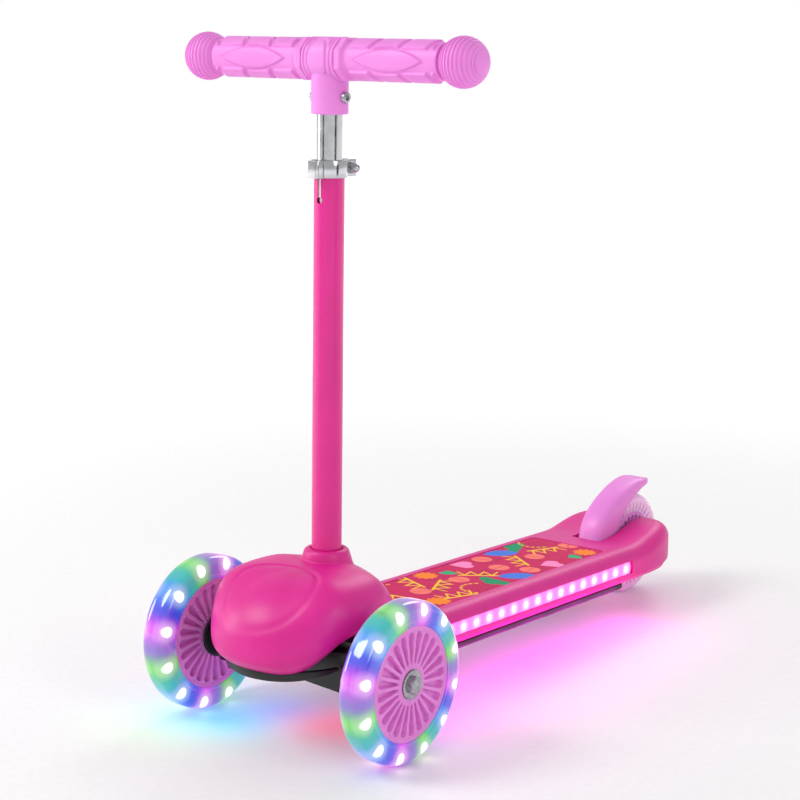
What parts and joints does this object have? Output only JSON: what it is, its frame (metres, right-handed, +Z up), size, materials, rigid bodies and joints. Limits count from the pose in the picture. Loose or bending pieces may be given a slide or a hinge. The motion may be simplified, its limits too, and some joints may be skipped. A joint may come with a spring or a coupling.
{
  "type": "kick scooter",
  "caption": "Child's three-wheel kick scooter that steers by leaning, with a height-adjustable T handlebar, lit front wheels and deck, and a press-down fender brake.",
  "frame": {"origin": "on the floor below the middle of the whole scooter at its lowest handlebar height", "axes": "+Z up, the front faces -Y, +X is the rider's left"},
  "size_m": [0.273, 0.569, 0.5128],
  "materials": {
    "battery_film": "shrink film",
    "black_nylon": "moulded, fine texture",
    "chromed_steel": "bright plated",
    "circuit": "circuit board",
    "clear_urethane": "clear cast",
    "grip_sheet": "printed, textured",
    "light_pink_pp": "satin moulded",
    "light_pink_pvc": "soft moulded",
    "lit_lens": "glossy lens",
    "magenta_pp": "satin moulded",
    "magnet": "sintered",
    "painted_tube": "gloss powder coat",
    "urethane_buffer": "cast elastomer",
    "white_acetal": "machined",
    "zinc_steel": "zinc plated"
  },
  "bodies": {
    "truck": {"truck_beam": "black_nylon", "kingpins": "zinc_steel", "lean_buffer_left": "urethane_buffer", "lean_buffer_right": "urethane_buffer"},
    "knuckle_left": {"knuckle_left": "black_nylon", "axle_bolt_left": "zinc_steel", "axle_washer_left": "zinc_steel", "magnet_core_left": "magnet"},
    "knuckle_right": {"knuckle_right": "black_nylon", "axle_bolt_right": "zinc_steel", "axle_washer_right": "zinc_steel", "magnet_core_right": "magnet"},
    "tie_rod": {"tie_rod": "black_nylon"},
    "wheel_left": {"front_tyre_left": "clear_urethane", "front_hub_left": "light_pink_pp", "front_bearings_left": "zinc_steel", "front_led_ring_left": "circuit"},
    "wheel_right": {"front_tyre_right": "clear_urethane", "front_hub_right": "light_pink_pp", "front_bearings_right": "zinc_steel", "front_led_ring_right": "circuit"},
    "rear_wheel": {"rear_tyre": "clear_urethane", "rear_hub": "light_pink_pp", "rear_bearings": "zinc_steel"},
    "brake": {"fender": "light_pink_pp"},
    "handlebar": {"inner_tube": "chromed_steel", "tube_glide": "white_acetal", "handlebar_block": "light_pink_pvc", "block_bolt": "chromed_steel", "crossbar": "zinc_steel", "grip_left": "light_pink_pvc", "grip_right": "light_pink_pvc"},
    "deck": {"battery_pack": "battery_film", "clamp_band": "chromed_steel", "clamp_bolt": "chromed_steel", "clamp_nut": "chromed_steel", "control_board": "circuit", "deck_shell": "magenta_pp", "fender_hinge_lugs": "black_nylon", "fender_pin": "zinc_steel", "front_frame": "black_nylon", "grip_panel": "grip_sheet", "led_strip_left": "circuit", "led_strip_right": "circuit", "light_bar_left": "lit_lens", "light_bar_right": "lit_lens", "nose_guard": "black_nylon", "outer_tube": "painted_tube", "pivot_pin": "zinc_steel", "rear_axle_bolt": "zinc_steel", "rear_axle_nut": "zinc_steel", "rear_spacers": "zinc_steel", "stem_bolt": "zinc_steel", "tray_screws": "zinc_steel", "tube_sleeve": "white_acetal", "under_tray": "black_nylon"}
  },
  "joints": [
    {"name": "lean", "type": "hinge", "parent": "truck", "child": "deck", "pos_m": [0, -0.2185, 0.066], "axis": [0, 1, 0], "range_deg": [-8, 8], "stiffness_Nm_per_rad": 30, "deforming": ["lean_buffer_left", "lean_buffer_right"]},
    {"name": "steer_left", "type": "hinge", "parent": "truck", "child": "knuckle_left", "pos_m": [0.068, -0.2185, 0.06], "axis": [0, 0, 1], "range_deg": [-9, 9]},
    {"name": "steer_right", "type": "hinge", "parent": "truck", "child": "knuckle_right", "pos_m": [-0.068, -0.2185, 0.06], "axis": [0, 0, 1], "range_deg": [-9, 9]},
    {"name": "tie_rod_slide", "type": "slide", "parent": "truck", "child": "tie_rod", "axis": [1, 0, 0], "range_m": [-0.0035, 0.0035]},
    {"name": "front_wheel_left_spin", "type": "hinge", "parent": "knuckle_left", "child": "wheel_left", "pos_m": [0.095, -0.2185, 0.06], "axis": [1, 0, 0], "continuous": true},
    {"name": "front_wheel_right_spin", "type": "hinge", "parent": "knuckle_right", "child": "wheel_right", "pos_m": [-0.095, -0.2185, 0.06], "axis": [1, 0, 0], "continuous": true},
    {"name": "rear_wheel_spin", "type": "hinge", "parent": "deck", "child": "rear_wheel", "pos_m": [0, 0.2385, 0.046], "axis": [1, 0, 0], "continuous": true},
    {"name": "brake_press", "type": "hinge", "parent": "deck", "child": "brake", "pos_m": [0, 0.1805, 0.051], "axis": [-1, 0, 0], "range_deg": [0, 6], "stiffness_Nm_per_rad": 0.6, "springref_deg": -14.32},
    {"name": "handlebar_height", "type": "slide", "parent": "deck", "child": "handlebar", "axis": [0, 0.0227, 0.9997], "range_m": [0, 0.1]}
  ],
  "couplings": [
    {"joint": "steer_left", "follows": "lean", "ratio": 1.0909},
    {"joint": "steer_right", "follows": "lean", "ratio": 1.0909},
    {"joint": "tie_rod_slide", "follows": "lean", "m_per_rad": -0.024}
  ]
}
